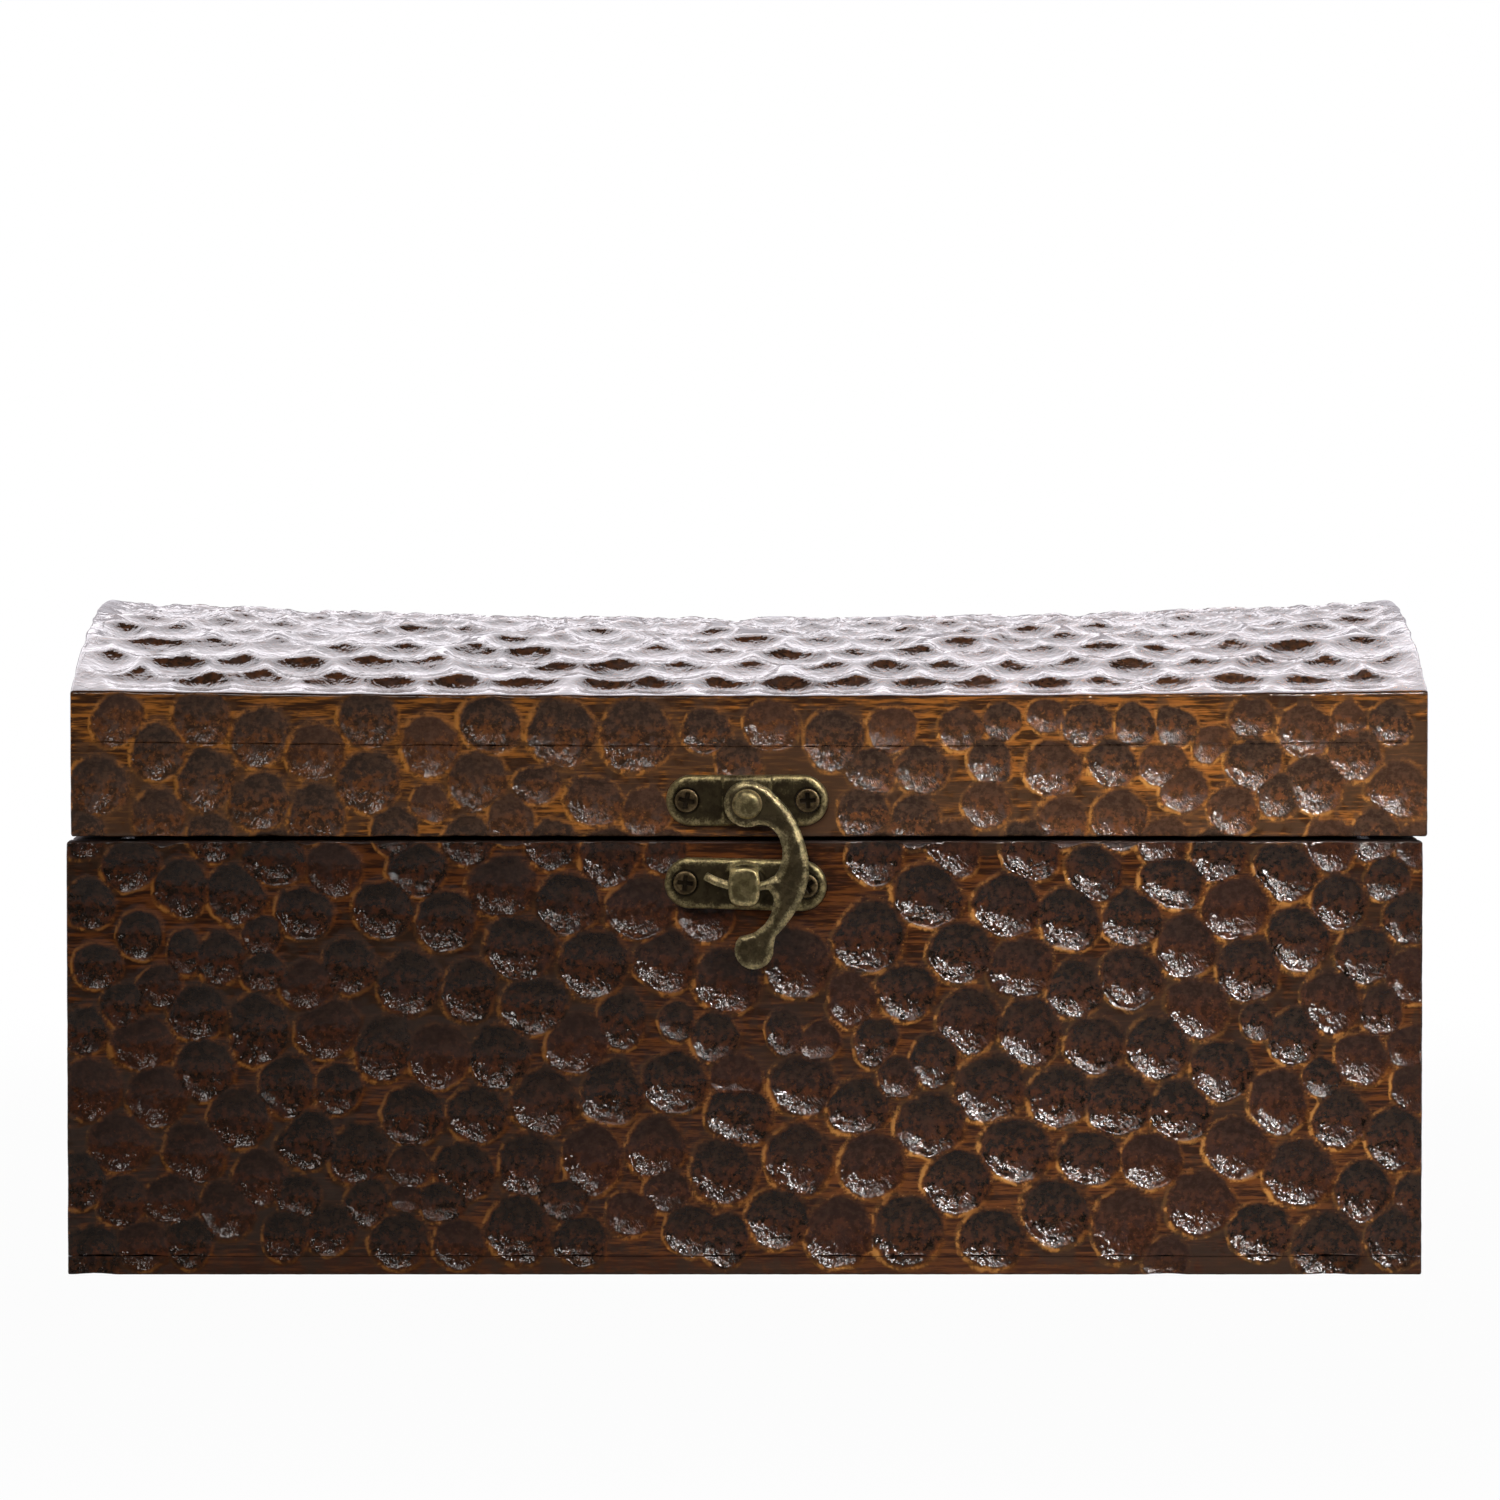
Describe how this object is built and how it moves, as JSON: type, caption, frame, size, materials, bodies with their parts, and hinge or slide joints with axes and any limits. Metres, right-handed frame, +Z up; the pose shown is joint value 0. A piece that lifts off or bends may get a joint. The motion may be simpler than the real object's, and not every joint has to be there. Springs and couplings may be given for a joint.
{
  "type": "wooden box",
  "caption": "Oblong wooden keepsake box with a carved dimpled surface, an arched hinged lid and a brass swing-hook latch.",
  "frame": {"origin": "centre of the box's flat underside", "axes": "+X to the right seen from the front, along the box's length; +Y from the front to the back; +Z up"},
  "size_m": [0.2809, 0.1889, 0.1379],
  "materials": {
    "carved_wood": "gloss varnish over dark stain",
    "lid_wood": "gloss varnish over dark stain",
    "bottom_wood": "satin varnish",
    "antique_brass": "antiqued, satin",
    "worn_brass": "antiqued, rubbed bright",
    "screw_brass": "antiqued, satin"
  },
  "bodies": {
    "base": {"front_board": "carved_wood", "back_board": "carved_wood", "left_side_board": "carved_wood", "right_side_board": "carved_wood", "bottom_panel": "bottom_wood", "keeper_plate": "antique_brass", "keeper_post": "antique_brass", "keeper_left_screw": "screw_brass", "keeper_right_screw": "screw_brass", "left_hinge_body_leaf": "antique_brass", "left_hinge_pin": "worn_brass", "left_hinge_body_left_screw": "screw_brass", "left_hinge_body_right_screw": "screw_brass", "right_hinge_body_leaf": "antique_brass", "right_hinge_pin": "worn_brass", "right_hinge_body_left_screw": "screw_brass", "right_hinge_body_right_screw": "screw_brass"},
    "lid": {"lid_top_panel": "lid_wood", "lid_front_rail": "lid_wood", "lid_back_rail": "lid_wood", "lid_left_end": "lid_wood", "lid_right_end": "lid_wood", "hook_plate": "antique_brass", "hook_rivet": "worn_brass", "hook_plate_left_screw": "screw_brass", "hook_plate_right_screw": "screw_brass", "left_hinge_lid_leaf": "antique_brass", "left_hinge_lid_left_screw": "screw_brass", "left_hinge_lid_right_screw": "screw_brass", "right_hinge_lid_leaf": "antique_brass", "right_hinge_lid_left_screw": "screw_brass", "right_hinge_lid_right_screw": "screw_brass"},
    "hook": {"swing_hook": "antique_brass"}
  },
  "joints": [
    {"name": "lid_hinge", "type": "hinge", "parent": "base", "child": "lid", "pos_m": [0, 0.0916, 0.0904], "axis": [-1, 0, 0], "range_deg": [0, 180]},
    {"name": "hook_swing", "type": "hinge", "parent": "lid", "child": "hook", "pos_m": [0.0005, -0.0915, 0.0978], "axis": [0, -1, 0], "range_deg": [0, 270]}
  ]
}
